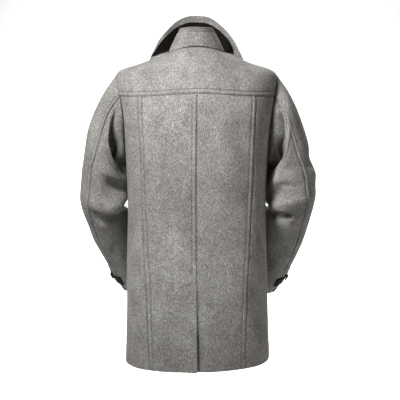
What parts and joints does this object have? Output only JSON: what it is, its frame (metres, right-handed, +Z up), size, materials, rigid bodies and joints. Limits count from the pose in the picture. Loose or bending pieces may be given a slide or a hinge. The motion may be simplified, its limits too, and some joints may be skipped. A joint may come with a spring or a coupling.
{
  "type": "loden jacket",
  "caption": "Hip-length grey loden jacket, hollow as worn, with a back yoke, centre back vent, two-piece sleeves with cuff straps, a low back stand and a wide raised front collar.",
  "frame": {"origin": "middle of the neck opening at the height of the back neck seam, where the wearer's shoulders and neck hold it", "axes": "+Z up, +Y the way the wearer faces, +X towards the wearer's right side"},
  "size_m": [0.6586, 0.359, 0.9641],
  "materials": {
    "wool": "felted grey melange wool",
    "lining": "dark matt lining",
    "strap": "dark smooth leather",
    "horn": "dark polished horn look"
  },
  "bodies": {
    "root": {"back_left": "wool", "back_right": "wool", "side_left": "wool", "side_right": "wool", "yoke": "wool", "front_left": "wool", "front_right": "wool", "sleeve_left_upper": "wool", "sleeve_left_under": "wool", "sleeve_right_upper": "wool", "sleeve_right_under": "wool", "collar_stand": "wool", "collar_front_left": "wool", "collar_front_right": "wool", "collar_lining_left": "lining", "collar_lining_right": "lining", "cuff_strap_left": "strap", "cuff_strap_right": "strap", "cuff_button_left": "horn", "cuff_button_right": "horn", "front_button_1": "horn", "front_button_2": "horn", "front_button_3": "horn", "front_button_4": "horn"}
  },
  "joints": []
}
